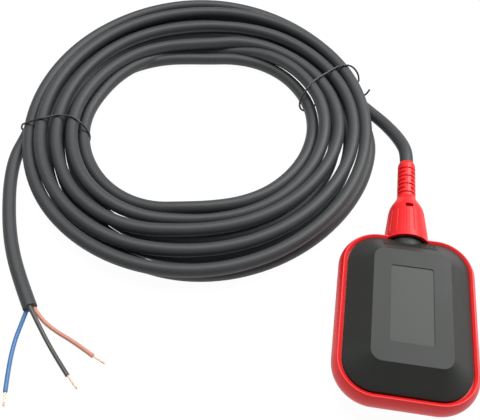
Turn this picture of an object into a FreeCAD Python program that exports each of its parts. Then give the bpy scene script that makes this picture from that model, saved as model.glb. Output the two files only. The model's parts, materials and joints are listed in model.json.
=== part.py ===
import FreeCAD, Part
import math
import os

from FreeCAD import Vector

# A float level switch: a flat, hollow float of two black shells inside a red bumper
# frame, with a red gland nut and bend relief on its neck and almost six metres of cable.
# Millimetres, +Z up. The float lies flat. The origin is the centre of its rear
# platform, +Y points to the neck and +Z out of the front.

# ---- Driving dimensions ----

# Shells
BODY_THICK = 41.5        # rear platform to front platform
PLATFORM_W = 44.2
PLATFORM_L = 71.4
PLATFORM_R = 6.5
SHELL_W = 71.4
SHELL_L = 98.9
SHELL_R = 18.5
SHELL_SHIFT = 1.45       # the rim reaches further on the neck's side
RIM = 7.6                # half height of the straight rim
WALL = 2.4
LABEL_W = 24.2
LABEL_L = 48.4
LABEL_R = 1.5
LABEL_Y = 0.5
LABEL_DEEP = 0.5
TONGUE_W = 0.9           # weld tongue on the front shell's rim
TONGUE_H = 1.3
RIB_COUNT = 23           # fine moulded ribs on the slope at the neck
RIB_PITCH = 1.4
RIB_W = 0.6
RIB_H = 0.4
RIB_FROM = 0.06          # as shares of the slope's length
RIB_TO = 0.58

# Bumper frame, measured outward from the shells' rim
FRAME_GROOVE = 0.9       # dark gap beside the rim
FRAME_SEAT = 5.4         # half height of the face that holds the rim
FRAME_RIDGE = 2.3
FRAME_TOP_FLAT = 0.5
FRAME_OUT = 5.3
FRAME_EDGE_R = 0.9

# Gland, all round the neck's axis
THREAD_R = 11.3
THREAD_DEEP = 0.7
THREAD_PITCH = 3.0
THREAD_TURNS = 4
GLAND_FLANGE_R = 12.9
GLAND_FLANGE_T = 3.0
GLAND_BACK = 14.5        # flange's inner face, behind the shells' edge
SPIGOT_LONG = 13.5       # spigot's end, beyond the shells' edge
SEAL_R = 8.1
SEAL_L = 10.4
WASHER_R = 9.4
WASHER_T = 1.5
SADDLE_T = 3.4

# Gland nut with bend relief; places are measured from the shells' edge
NUT_START = 1.3
NUT_R = 14.2
NUT_WALL = 2.0
NUT_TAPER_END = 25.1
NUT_TAPER_R = 11.5
NUT_SHOULDER_END = 32.1
NUT_SHOULDER_R = 9.0
NUT_NECK_START = 36.1
NUT_NECK_R = 6.9
RELIEF_START = 38.9
RELIEF_R = 6.05
RELIEF_END_R = 5.8
NUT_END = 68.6
NUT_TIP = 2.4            # chamfer at the cable's end
NUT_TIP_R = 5.0
FLUTE_COUNT = 16
FLUTE_R = 0.45
SLOT_W = 1.2
SLOT_DEEP = 0.95
SLOT_PITCH = 3.43
SLOT_COUNT = 7
SLOT_FIRST = 2.2         # first slot, beyond the start of the relief
SLOT_BRIDGE = 3.4        # web left between the two halves of a slot ring
WINDOW_W = 4.8
WINDOW_L = 3.2
WINDOW_AT = 26.2

# Inner capsule
CAPSULE_W = 50.0
CAPSULE_L = 64.0
CAPSULE_Y = -4.0
CAPSULE_R = 5.0
CAPSULE_LOW = 12.5       # below and above the mid plane
CAPSULE_HIGH = 12.5
CAPSULE_WALL = 2.0
LID_LIP = 1.2
LID_LIP_T = 1.2
LID_BOSS_R = 2.6
LID_BOSS_H = 4.6
LID_SCREW_IN = 3.3       # screw axes, in from the tray's inner walls
SCREW_R = 1.2
SCREW_HEAD_R = 2.2
SCREW_HEAD_H = 1.2
POST_R = 2.5
POST_X = 15.5
POST_IN = 9.0

# Ball and cam lever
BALL_R = 8.0
BALL_GAP = 0.3
BALL_TRAVEL = 22.0
RAIL_H = 3.0
RAIL_T = 1.4
STOP_H = 12.0
LEVER_SWING = 5.5        # degrees, over the whole travel
LEVER_BACK = 5.0         # pivot, behind the resting ball's centre
LEVER_OFFSET = 2.0       # pivot line, right of the cam face at the end of travel
LEVER_HALF_T = 0.7
LEVER_TALL = 4.0
LEVER_EYE_R = 2.3
LEVER_PAST = 2.5
PIN_R = 1.0
PIN_FIT = 0.05
PIN_HEAD_R = 1.8
PIN_HEAD_T = 0.8

# Microswitch
SWITCH_L = 27.8
SWITCH_D = 15.9
SWITCH_T = 10.3
SWITCH_WALL = 1.5
SWITCH_COVER = 1.2
SWITCH_HOLE_R = 1.25
SWITCH_HOLE_IN = 2.9
SWITCH_BOSS_R = 2.3
PLUNGER_ALONG = 7.8      # plunger, from the switch's lower end
PLUNGER_ARM = 11.0       # plunger, from the lever's pivot
PLUNGER_W = 2.4
PLUNGER_TALL = 3.0
PLUNGER_OUT = 1.2        # what stands out of the case when pressed
PLUNGER_FLANGE = 0.8
BLADE_T = 0.4
BLADE_TALL = 3.6
BLADE_ARM = 4.4          # plunger, from the blade's pivot
BLADE_LONG = 17.0        # contact, from the blade's pivot
BLADE_POST_R = 0.7
BLADE_EYE_R = 1.3
BLADE_IN = 7.5           # blade's pivot, behind the case's front
CONTACT_R = 1.1
CONTACT_H = 0.6
TERMINAL_T = 0.8
TERMINAL_W = 3.2
TERMINAL_OUT = 6.3
FIT = 0.1                # gap between parts that touch

# Wires and clamp
WIRE_R = 1.0
WIRE_X = 4.3             # wire run, beyond the switch case's back
WIRE_END = 5.0           # straight end into the cable
WIRE_EXIT_W = 8.4
WIRE_EXIT_H = 9.0
CORE_RING = 2.2
CLAMP_W = 23.0
CLAMP_T = 3.6
CLAMP_Y = 31.2
CLAMP_LONG = 4.6
CLAMP_SCREW_X = 8.8
CLAMP_SCREW_L = 9.0
CABLE_IN = 29.6          # where the sheath ends inside the float

# Cable
CABLE_R = 4.5
CABLE_FIT = 0.06
CORE_R = 1.35
STRAND_R = 0.75
COIL_TURN = 8.77         # the coil's own X axis, degrees from +X
COIL_X = -152.0
COIL_Y = 151.0
COIL_OUT_A = 132.0
COIL_OUT_B = 138.0
COIL_IN_A = 81.0
COIL_IN_B = 70.0
COIL_HIGH = 19.0
COIL_TOP_C = 5.0         # chamfers, which stand for the outer turns' round sides
COIL_FOOT_C = 2.5
TIE_R = 0.8
TIE_GAP = 0.3
TIE_FOOT_C = 1.5
TIE_ANGLES = {"left": (185.2, 182.6), "right": (5.8, 22.1)}   # at the inner and outer edge

# Free stretches of the cable, along its middle, chosen by hand
LEAD_ROUTE = [
    (0.0, 119.5, 20.75),
    (0.0, 129.0, 20.75),
    (-2.1, 139.5, 18.3),
    (-7.0, 153.0, 13.9),
    (-14.6, 167.3, 9.4),
    (-25.4, 181.6, 5.6),
    (-34.0, 191.0, 4.5),
]
TAIL_ROUTE = [
    (-276.0, 118.0, 4.5),
    (-277.6, 99.0, 4.5),
    (-273.4, 76.5, 4.5),
    (-265.0, 51.0, 4.5),
    (-255.5, 28.5, 4.5),
    (-242.5, 5.5, 4.5),
    (-225.7, -17.6, 4.5),
]
CORE_ROUTES = {
    "blue": [
        (-227.9, -17.4, 3.2),
        (-228.6, -27.5, 1.8),
        (-228.9, -39.5, 1.35),
        (-226.6, -55.5, 1.35),
        (-223.2, -70.0, 1.35),
    ],
    "black": [
        (-226.6, -16.4, 6.5),
        (-219.6, -24.6, 4.4),
        (-211.3, -34.2, 2.0),
        (-201.2, -44.9, 1.35),
        (-190.8, -55.0, 1.35),
    ],
    "brown": [
        (-225.2, -15.4, 3.2),
        (-217.5, -23.0, 1.9),
        (-206.5, -28.9, 1.35),
        (-192.5, -34.4, 1.35),
        (-179.5, -41.0, 1.35),
    ],
}
STRAND_TIPS = {
    "blue": (-221.5, -78.3, 1.0),
    "black": (-183.3, -61.6, 1.0),
    "brown": (-171.0, -44.6, 1.0),
}

# ---- Worked out from them ----

MID = BODY_THICK / 2
SHELL_EDGE = SHELL_SHIFT + SHELL_L / 2
NUT_RIM_Y = SHELL_EDGE + NUT_START
NUT_END_Y = SHELL_EDGE + NUT_END
BORE_R = CABLE_R + CABLE_FIT
CAPSULE_TOP = MID + CAPSULE_HIGH
CAPSULE_FOOT = MID - CAPSULE_LOW
TRAY_FLOOR = CAPSULE_FOOT + CAPSULE_WALL
TRAY_TOP = CAPSULE_TOP - CAPSULE_WALL
TRAY_X = CAPSULE_W / 2 - CAPSULE_WALL
TRAY_Y0 = CAPSULE_Y - CAPSULE_L / 2 + CAPSULE_WALL
TRAY_Y1 = CAPSULE_Y + CAPSULE_L / 2 - CAPSULE_WALL

BALL_X = -TRAY_X + BALL_GAP + BALL_R
BALL_Y = TRAY_Y0 + BALL_GAP + BALL_R
BALL_Z = TRAY_FLOOR + BALL_R + FIT / 2
PIVOT_X = BALL_X + BALL_R + BALL_GAP + LEVER_OFFSET
PIVOT_Y = BALL_Y - LEVER_BACK
LEVER_Z0 = BALL_Z - LEVER_TALL / 2
SWING = math.radians(LEVER_SWING)
PLUNGER_TRAVEL = PLUNGER_ARM * math.tan(SWING)
PLUNGER_Y = PIVOT_Y + PLUNGER_ARM
SWITCH_X = PIVOT_X + LEVER_HALF_T + PLUNGER_OUT
SWITCH_Y = PLUNGER_Y - PLUNGER_ALONG
SWITCH_Z = BALL_Z - SWITCH_T / 2
SWITCH_BACK = SWITCH_X + SWITCH_D
BLADE_X = SWITCH_X + BLADE_IN
BLADE_Y = PLUNGER_Y - BLADE_ARM
BLADE_HALF_SWING = math.atan(PLUNGER_TRAVEL / 2 / BLADE_ARM)
TERMINAL_Z = SWITCH_Z + SWITCH_WALL
WIRE_LINE_X = SWITCH_BACK + WIRE_X


# ---- Small helpers ----

def rounded_wire(half_x, half_y, radius, z, y=0.0):
    """A closed rectangle with round corners, level at height z, centred on x = 0."""
    cx = half_x - radius
    cy = half_y - radius
    slant = radius * math.sqrt(0.5)
    corners = [(cx, -cy, 1, -1), (cx, cy, 1, 1), (-cx, cy, -1, 1), (-cx, -cy, -1, -1)]
    turns = []
    for px, py, sx, sy in corners:
        side = Vector(px + sx * radius, y + py, z)
        end = Vector(px, y + py + sy * radius, z)
        middle = Vector(px + sx * slant, y + py + sy * slant, z)
        first, last = (end, side) if sx * sy < 0 else (side, end)
        turns.append((first, middle, last))
    edges = []
    for i, (first, middle, last) in enumerate(turns):
        edges.append(Part.Arc(first, middle, last).toShape())
        following = turns[(i + 1) % 4][0]
        edges.append(Part.LineSegment(last, following).toShape())
    return Part.Wire(edges)


def prism(wire, height):
    return Part.Face(wire).extrude(Vector(0, 0, height))


def loft(lower, upper):
    return Part.makeLoft([lower, upper], True, True)


def block(x0, x1, y0, y1, z0, z1):
    return Part.makeBox(x1 - x0, y1 - y0, z1 - z0, Vector(x0, y0, z0))


def post(x, y, z0, z1, radius):
    return Part.makeCylinder(radius, z1 - z0, Vector(x, y, z0))


def neck_cylinder(radius, y0, y1):
    return Part.makeCylinder(radius, y1 - y0, Vector(0, y0, MID), Vector(0, 1, 0))


def polygon(points):
    return Part.makePolygon(list(points) + [points[0]])


def spin_on_neck(points):
    """Turns a closed (y, r) outline about the neck's axis."""
    face = Part.Face(polygon([Vector(0, y, MID + r) for y, r in points]))
    return face.revolve(Vector(0, 0, MID), Vector(0, 1, 0), 360)


def plate(points, z0, height):
    """An upright solid on a closed (x, y) outline."""
    return Part.Face(polygon([Vector(x, y, z0) for x, y in points])).extrude(Vector(0, 0, height))


def turned(x, y, angle):
    c, s = math.cos(angle), math.sin(angle)
    return c * x - s * y, s * x + c * y


def route_edges(points):
    """Straight runs joined by tangent arcs, and the arcs' radii."""
    vectors = [Vector(*p) for p in points]
    edges, radii = [], []
    start = vectors[0]
    for before, corner, after in zip(vectors, vectors[1:], vectors[2:]):
        back, ahead = before - corner, after - corner
        reach = 0.45 * min(back.Length, ahead.Length)
        back.normalize()
        ahead.normalize()
        half_turn = (math.pi - back.getAngle(ahead)) / 2
        radius = reach / math.tan(half_turn)
        half = back + ahead
        half.normalize()
        middle = corner + half * (radius / math.cos(half_turn) - radius)
        entry, leave = corner + back * reach, corner + ahead * reach
        edges.append(Part.LineSegment(start, entry).toShape())
        edges.append(Part.Arc(entry, middle, leave).toShape())
        radii.append(radius)
        start = leave
    edges.append(Part.LineSegment(start, vectors[-1]).toShape())
    return edges, radii


def tube(points, radius, name=None):
    edges, radii = route_edges(points)
    path = Part.Wire(edges)
    start = Vector(*points[0])
    way = Vector(*points[1]) - start
    ring = Part.Wire([Part.Circle(start, way, radius).toShape()])
    solid = path.makePipeShell([ring], True, False)
    if name:
        ideal = math.pi * radius ** 2 * path.Length
        sizes = " ".join("%.0f" % r for r in radii)
        print("%s: length %.1f, volume ratio %.4f, radii %s"
              % (name, path.Length, solid.Volume / ideal, sizes))
    return solid


# ---- Shells ----

def shell_outside():
    base = (SHELL_W / 2, SHELL_L / 2, SHELL_R)
    rim = prism(rounded_wire(*base, MID, SHELL_SHIFT), RIM)
    slope = loft(
        rounded_wire(*base, MID + RIM, SHELL_SHIFT),
        rounded_wire(PLATFORM_W / 2, PLATFORM_L / 2, PLATFORM_R, BODY_THICK),
    )
    return rim.fuse(slope)


def inner_edge(rim_edge, platform_edge):
    """Where the inner slope meets the platform's inner face, for an even wall."""
    run = rim_edge - platform_edge
    rise = MID - RIM
    return platform_edge + run * WALL / rise - WALL * math.hypot(run, rise) / rise


def shell_inside():
    side = inner_edge(SHELL_W / 2, PLATFORM_W / 2)
    near = inner_edge(SHELL_EDGE, PLATFORM_L / 2)
    far = inner_edge(SHELL_L - SHELL_EDGE, PLATFORM_L / 2)
    base = (SHELL_W / 2 - WALL, SHELL_L / 2 - WALL, SHELL_R - WALL)
    turn_z = MID + RIM - 0.42 * WALL
    rim = prism(rounded_wire(*base, MID, SHELL_SHIFT), turn_z - MID)
    slope = loft(
        rounded_wire(*base, turn_z, SHELL_SHIFT),
        rounded_wire(side, (near + far) / 2, PLATFORM_R - 0.5, BODY_THICK - WALL, (near - far) / 2),
    )
    return rim.fuse(slope)


def weld_ring(width, height, z):
    """A ring along the middle of the rim's wall."""
    middle = (SHELL_W / 2 - WALL / 2, SHELL_L / 2 - WALL / 2, SHELL_R - WALL / 2)
    outer = rounded_wire(*[m + width / 2 for m in middle], z, SHELL_SHIFT)
    inner = rounded_wire(*[m - width / 2 for m in middle], z, SHELL_SHIFT)
    return prism(outer, height).cut(prism(inner, height))


def capsule_posts():
    y0 = CAPSULE_Y - CAPSULE_L / 2 + POST_IN
    y1 = CAPSULE_Y + CAPSULE_L / 2 - POST_IN
    places = [(x, y) for x in (-POST_X, POST_X) for y in (y0, y1)]
    return [post(x, y, CAPSULE_TOP, BODY_THICK - WALL / 2, POST_R) for x, y in places]


def shell_half():
    """The upper half: hollow shell, half saddle round the gland and capsule posts."""
    outside = shell_outside()
    flange_y = SHELL_EDGE - GLAND_BACK + GLAND_FLANGE_T
    saddle = block(-THREAD_R * 1.45, THREAD_R * 1.45, flange_y, flange_y + SADDLE_T, MID, BODY_THICK)
    shell = outside.cut(shell_inside())
    shell = shell.fuse([saddle.common(outside)] + capsule_posts())
    return shell.cut(neck_cylinder(THREAD_R + FIT, 0, SHELL_EDGE + 1))


def neck_ribs():
    """Fine parallel ribs that run up the slope beside the neck."""
    foot = Vector(0, SHELL_EDGE, MID + RIM)
    up = Vector(0, PLATFORM_L / 2 - SHELL_EDGE, MID - RIM)
    out = Vector(0, up.z, -up.y)
    out.normalize()
    low, high = foot + up * RIB_FROM, foot + up * RIB_TO
    ribs = []
    for i in range(RIB_COUNT):
        x = Vector((i - (RIB_COUNT - 1) / 2) * RIB_PITCH - RIB_W / 2, 0, 0)
        corners = [low - out * RIB_H, low + out * RIB_H, high + out * RIB_H, high - out * RIB_H]
        ribs.append(Part.Face(polygon([c + x for c in corners])).extrude(Vector(RIB_W, 0, 0)))
    return ribs


def front_shell():
    recess = prism(
        rounded_wire(LABEL_W / 2, LABEL_L / 2, LABEL_R, BODY_THICK - LABEL_DEEP, LABEL_Y),
        LABEL_DEEP + 1,
    )
    tongue = weld_ring(TONGUE_W, TONGUE_H, MID - TONGUE_H)
    shell = shell_half().fuse(neck_ribs() + [tongue])
    return shell.cut([recess, neck_cylinder(THREAD_R + FIT, 0, SHELL_EDGE + 1)])


def rear_shell():
    shell = shell_half().mirror(Vector(0, 0, MID), Vector(0, 0, 1))
    groove = weld_ring(TONGUE_W + 2 * FIT, TONGUE_H + FIT, MID - TONGUE_H - FIT)
    y0, y1 = CLAMP_Y, CLAMP_Y + CLAMP_LONG
    bed = block(-CLAMP_W / 2, CLAMP_W / 2, y0, y1, 0, MID - FIT)
    bed = bed.common(shell_outside().mirror(Vector(0, 0, MID), Vector(0, 0, 1)))
    shell = shell.fuse(bed).cut([groove, neck_cylinder(BORE_R, y0 - 1, y1 + 1)])
    return shell.cut([post(x, y, MID - CLAMP_SCREW_L, MID, SCREW_R) for x, y in clamp_places()])


def clamp_places():
    return [(x, CLAMP_Y + CLAMP_LONG / 2) for x in (-CLAMP_SCREW_X, CLAMP_SCREW_X)]


# ---- Bumper frame ----

def frame_section():
    """Half-round band with a ridge beside the rim; (outward, up) from the mid plane."""
    edge = FRAME_RIDGE + FRAME_TOP_FLAT
    bulge = FRAME_OUT
    return [
        (FIT / 2, -FRAME_SEAT), (FIT / 2, FRAME_SEAT),
        (FRAME_GROOVE, FRAME_SEAT), (FRAME_GROOVE, RIM - 1.0),
        (FRAME_RIDGE, RIM), (edge, RIM),
    ], (bulge, 0.0), [
        (edge, -RIM), (FRAME_RIDGE, -RIM),
        (FRAME_GROOVE, 1.0 - RIM), (FRAME_GROOVE, -FRAME_SEAT),
    ]


def bumper_frame():
    rising, bulge, falling = frame_section()
    half = SHELL_W / 2
    start_y = SHELL_SHIFT - SHELL_L / 2 + SHELL_R

    def at(point):
        return Vector(half + point[0], start_y, MID + point[1])

    edges = [Part.LineSegment(at(a), at(b)).toShape() for a, b in zip(rising, rising[1:])]
    edges.append(Part.Arc(at(rising[-1]), at(bulge), at(falling[0])).toShape())
    falling = falling + [rising[0]]
    edges += [Part.LineSegment(at(a), at(b)).toShape() for a, b in zip(falling, falling[1:])]
    path = rounded_wire(half, SHELL_L / 2, SHELL_R, MID, SHELL_SHIFT)
    ring = path.makePipeShell([Part.Wire(edges)], True, False)
    return ring.cut(neck_cylinder(NUT_R + FIT, 0, NUT_END_Y))


# ---- Gland and nut ----

def gland_body():
    """Threaded spigot with an inner flange, a cable bore and the seal's seat."""
    y0 = SHELL_EDGE - GLAND_BACK
    y1 = SHELL_EDGE + SPIGOT_LONG
    outline = [(y0, BORE_R + 0.3), (y0, GLAND_FLANGE_R), (y0 + GLAND_FLANGE_T - FIT, GLAND_FLANGE_R)]
    outline.append((y0 + GLAND_FLANGE_T - FIT, THREAD_R))
    first = y1 - 1.0 - THREAD_TURNS * THREAD_PITCH
    for i in range(THREAD_TURNS):
        y = first + i * THREAD_PITCH
        outline.append((y, THREAD_R))
        outline.append((y + 0.35 * THREAD_PITCH, THREAD_R - THREAD_DEEP))
        outline.append((y + 0.55 * THREAD_PITCH, THREAD_R - THREAD_DEEP))
        outline.append((y + 0.9 * THREAD_PITCH, THREAD_R))
    outline += [(y1 - 0.8, THREAD_R), (y1, THREAD_R - 0.8), (y1, SEAL_R + FIT)]
    seat = y1 - SEAL_L + WASHER_T / 2
    outline += [(seat, SEAL_R + FIT), (seat, BORE_R + 0.3)]
    return spin_on_neck(outline)


def gland_seal():
    y0 = SHELL_EDGE + SPIGOT_LONG - SEAL_L + WASHER_T / 2 + FIT / 2
    y1 = y0 + SEAL_L
    chamfer = 1.2
    return spin_on_neck([
        (y0, BORE_R), (y0, SEAL_R - chamfer), (y0 + chamfer, SEAL_R),
        (y1 - chamfer, SEAL_R), (y1, SEAL_R - chamfer), (y1, BORE_R),
    ])


def washer_start():
    return SHELL_EDGE + SPIGOT_LONG + WASHER_T / 2 + FIT


def gland_washer():
    y0 = washer_start()
    return spin_on_neck([(y0, BORE_R + 0.2), (y0, WASHER_R), (y0 + WASHER_T, WASHER_R),
                         (y0 + WASHER_T, BORE_R + 0.2)])


def nut_outline():
    """The nut's outside from its rim to its tip, as (y, r)."""
    edge = SHELL_EDGE
    return [
        (NUT_RIM_Y, NUT_R),
        (edge + NUT_TAPER_END, NUT_TAPER_R),
        (edge + (NUT_TAPER_END + NUT_SHOULDER_END) / 2, (NUT_TAPER_R + NUT_SHOULDER_R) / 2 + 0.42),
        (edge + NUT_SHOULDER_END, NUT_SHOULDER_R),
        (edge + NUT_NECK_START, NUT_NECK_R),
        (edge + RELIEF_START, RELIEF_R),
        (NUT_END_Y - NUT_TIP, RELIEF_END_R),
        (NUT_END_Y, NUT_TIP_R),
    ]


def nut_inside():
    """The nut's inside from its tip to its rim: cable bore, cone and thread bore."""
    seat = washer_start() + WASHER_T + FIT / 2
    edge = SHELL_EDGE
    return [
        (NUT_END_Y, BORE_R),
        (edge + RELIEF_START - 2.5, BORE_R),
        (edge + NUT_TAPER_END, BORE_R + 3.9),
        (seat, BORE_R + 3.9),
        (seat, WASHER_R + FIT),
        (edge + SPIGOT_LONG + 4 * FIT, WASHER_R + FIT),
        (edge + SPIGOT_LONG + 4 * FIT, THREAD_R + 2 * FIT),
        (NUT_RIM_Y + 3.0, THREAD_R + 2 * FIT),
        (NUT_RIM_Y, NUT_R - NUT_WALL),
    ]


def relief_slots():
    """Slot rings cut from two sides, each ring a quarter turn from the last."""
    slots = []
    for i in range(SLOT_COUNT):
        y = SHELL_EDGE + RELIEF_START + SLOT_FIRST + i * SLOT_PITCH - SLOT_W / 2
        ring = neck_cylinder(RELIEF_R + 1, y, y + SLOT_W).cut(
            neck_cylinder(RELIEF_R - SLOT_DEEP, y, y + SLOT_W))
        reach, web = RELIEF_R + 2, SLOT_BRIDGE / 2
        if i % 2:
            bridge = block(-web, web, y - 1, y + SLOT_W + 1, MID - reach, MID + reach)
        else:
            bridge = block(-reach, reach, y - 1, y + SLOT_W + 1, MID - web, MID + web)
        slots.append(ring.cut(bridge))
    return slots


def grip_flutes():
    """Shallow round grooves down the cone, so that fingers can turn the nut."""
    y0, y1 = SHELL_EDGE + NUT_START + 4.0, SHELL_EDGE + NUT_TAPER_END - 1.0
    slope = (NUT_TAPER_R - NUT_R) / (NUT_TAPER_END - NUT_START)
    flutes = []
    for i in range(FLUTE_COUNT):
        angle = 2 * math.pi * (i + 0.5) / FLUTE_COUNT
        out = Vector(math.cos(angle), 0, math.sin(angle))
        start_r = NUT_R + slope * (y0 - NUT_RIM_Y) + 0.12
        start = Vector(0, y0, MID) + out * start_r
        way = Vector(0, 1, 0) + out * slope
        flutes.append(Part.makeCylinder(FLUTE_R, (y1 - y0), start, way))
    return flutes


def gland_nut():
    solid = spin_on_neck(nut_outline() + nut_inside())
    y = SHELL_EDGE + WINDOW_AT
    window = block(-WINDOW_W / 2, WINDOW_W / 2, y - WINDOW_L / 2, y + WINDOW_L / 2,
                   MID + BORE_R - 1, MID + NUT_R)
    return solid.cut(relief_slots() + grip_flutes() + [window])


# ---- Capsule ----

def capsule_wire(inset, z):
    return rounded_wire(CAPSULE_W / 2 - inset, CAPSULE_L / 2 - inset, CAPSULE_R - inset, z, CAPSULE_Y)


def lid_screw_places():
    x = TRAY_X - LID_SCREW_IN
    return [(sx * x, y) for sx in (-1, 1) for y in (TRAY_Y0 + LID_SCREW_IN, TRAY_Y1 - LID_SCREW_IN)]


def switch_screw_places():
    x = SWITCH_X + SWITCH_HOLE_IN
    return [(x, SWITCH_Y + SWITCH_HOLE_IN), (x, SWITCH_Y + SWITCH_L - SWITCH_HOLE_IN)]


def ball_rails():
    """Two low rails that keep the ball in its lane, and a stop at the lane's end."""
    half = math.sqrt(BALL_R ** 2 - (BALL_R - RAIL_H) ** 2) + BALL_GAP
    y1 = BALL_Y + BALL_TRAVEL + BALL_R + BALL_GAP
    z1 = TRAY_FLOOR + RAIL_H
    rails = []
    for x0 in (BALL_X - half - RAIL_T, BALL_X + half):
        rails.append(block(x0, x0 + RAIL_T, TRAY_Y0, y1, TRAY_FLOOR - 0.5, z1))
    stop = block(-TRAY_X - 0.5, BALL_X + BALL_R, y1, y1 + CAPSULE_WALL, TRAY_FLOOR - 0.5,
                 TRAY_FLOOR + STOP_H)
    return rails + [stop]


def lid_bosses():
    """Screw bosses in the tray's upper corners, above the ball's lane."""
    reach = LID_SCREW_IN + CAPSULE_WALL / 2
    bosses = []
    for x, y in lid_screw_places():
        sx = 1 if x > 0 else -1
        sy = 1 if y > CAPSULE_Y else -1
        boss = post(x, y, TRAY_TOP - LID_BOSS_H, TRAY_TOP, LID_BOSS_R)
        x0, x1 = sorted((x, x + sx * reach))
        y0, y1 = sorted((y, y + sy * reach))
        bosses.append(boss.fuse(block(x0, x1, y0, y1, TRAY_TOP - LID_BOSS_H, TRAY_TOP)))
    return bosses


def switch_chassis():
    """The capsule's tray: ball lane, lever post, switch pads and lid bosses."""
    height = TRAY_TOP - CAPSULE_FOOT
    outside = prism(capsule_wire(0, CAPSULE_FOOT), height)
    tray = outside.cut(prism(capsule_wire(CAPSULE_WALL, TRAY_FLOOR), height))
    details = ball_rails() + [b.common(outside) for b in lid_bosses()]
    details.append(post(PIVOT_X, PIVOT_Y, TRAY_FLOOR - 0.5, LEVER_Z0 - FIT, LEVER_EYE_R - 0.2))
    for x, y in switch_screw_places():
        details.append(post(x, y, TRAY_FLOOR - 0.5, SWITCH_Z - FIT / 2, SWITCH_BOSS_R))
    tray = tray.fuse(details)
    cuts = [post(PIVOT_X, PIVOT_Y, TRAY_FLOOR + 0.4, LEVER_Z0, PIN_R)]
    cuts += [post(x, y, TRAY_FLOOR - 0.6, SWITCH_Z, SCREW_R) for x, y in switch_screw_places()]
    cuts += [post(x, y, TRAY_TOP - LID_BOSS_H + 0.6, TRAY_TOP, SCREW_R) for x, y in lid_screw_places()]
    cuts.append(block(-WIRE_EXIT_W / 2, WIRE_EXIT_W / 2, TRAY_Y1 - 1, TRAY_Y1 + CAPSULE_WALL + 1,
                      MID - WIRE_EXIT_H / 2, MID + WIRE_EXIT_H / 2))
    return tray.cut(cuts)


def capsule_lid():
    plate_part = prism(capsule_wire(0, TRAY_TOP + FIT / 2), CAPSULE_WALL - FIT / 2)
    inset = CAPSULE_WALL + FIT
    lip = prism(capsule_wire(inset, TRAY_TOP - LID_LIP), LID_LIP + FIT)
    lip = lip.cut(prism(capsule_wire(inset + LID_LIP_T, TRAY_TOP - LID_LIP), LID_LIP + FIT))
    lip = lip.cut([post(x, y, TRAY_TOP - LID_LIP, TRAY_TOP + FIT / 2, LID_SCREW_IN + LID_BOSS_R)
                   for x, y in lid_screw_places()])
    lid = plate_part.fuse(lip)
    return lid.cut([post(x, y, TRAY_TOP, CAPSULE_TOP + 1, SCREW_R + 0.2) for x, y in lid_screw_places()])


def screw(x, y, seat_z, length):
    """A pan-head screw that points down, its head resting at seat_z."""
    shank = post(x, y, seat_z - length, seat_z, SCREW_R - FIT / 2)
    head = post(x, y, seat_z + FIT / 4, seat_z + SCREW_HEAD_H, SCREW_HEAD_R)
    head = head.fuse(post(x, y, seat_z, seat_z + FIT / 2, SCREW_R))
    drive = SCREW_HEAD_R * 0.7
    slot = block(x - drive, x + drive, y - 0.3, y + 0.3, seat_z + 0.6, seat_z + 2)
    return shank.fuse(head).cut(slot)


def capsule_screws():
    length = CAPSULE_WALL + LID_BOSS_H - 1.0
    return Part.makeCompound([screw(x, y, CAPSULE_TOP, length) for x, y in lid_screw_places()])


# ---- Ball and cam lever ----

def steel_ball():
    return Part.makeSphere(BALL_R, Vector(BALL_X, BALL_Y, BALL_Z))


def cam_face(steps=8):
    """The lever's face in its own frame, pressed position: the ball pushes the lever
    aside at an even rate, so the face follows the ball's path seen from the lever."""
    reach = BALL_R + BALL_GAP / 2

    def centre(travel):
        angle = SWING * (1 - travel / BALL_TRAVEL)
        return turned(BALL_X - PIVOT_X, LEVER_BACK + travel, -angle)

    face = []
    for i in range(steps + 1):
        travel = BALL_TRAVEL * i / steps
        x0, y0 = centre(travel - 0.01)
        x1, y1 = centre(travel + 0.01)
        x, y = centre(travel)
        run = math.hypot(x1 - x0, y1 - y0)
        face.append((x + reach * (y1 - y0) / run, y - reach * (x1 - x0) / run))
    return face


def cam_lever():
    face = cam_face()
    tip = face[-1][1] + LEVER_PAST
    ends = [(face[0][0], 0.0)] + face + [(face[-1][0] + 0.3, tip)]
    outline = ends + [(LEVER_HALF_T, tip), (LEVER_HALF_T, 0.0)]
    placed = []
    for x, y in outline:
        x, y = turned(x, y, SWING)
        placed.append((PIVOT_X + x, PIVOT_Y + y))
    arm = plate(placed, LEVER_Z0, LEVER_TALL)
    eye = post(PIVOT_X, PIVOT_Y, LEVER_Z0, LEVER_Z0 + LEVER_TALL, LEVER_EYE_R)
    bore = post(PIVOT_X, PIVOT_Y, LEVER_Z0, LEVER_Z0 + LEVER_TALL, PIN_R + PIN_FIT)
    return arm.fuse(eye).cut(bore)


def lever_pin():
    top = LEVER_Z0 + LEVER_TALL + FIT
    pin = post(PIVOT_X, PIVOT_Y, TRAY_FLOOR + 0.5, top, PIN_R)
    return pin.fuse(post(PIVOT_X, PIVOT_Y, top, top + PIN_HEAD_T, PIN_HEAD_R))


# ---- Microswitch ----

def switch_box(z0, z1):
    return block(SWITCH_X, SWITCH_BACK, SWITCH_Y, SWITCH_Y + SWITCH_L, z0, z1)


def terminal_rows():
    """The tabs' lower edges along the case: common, normally open, normally closed."""
    contact_y = BLADE_Y + BLADE_LONG
    return {
        "common": BLADE_Y - TERMINAL_W / 2,
        "open": contact_y - 2 * TERMINAL_W + 0.1,
        "closed": contact_y - TERMINAL_W / 2,
    }


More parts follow.
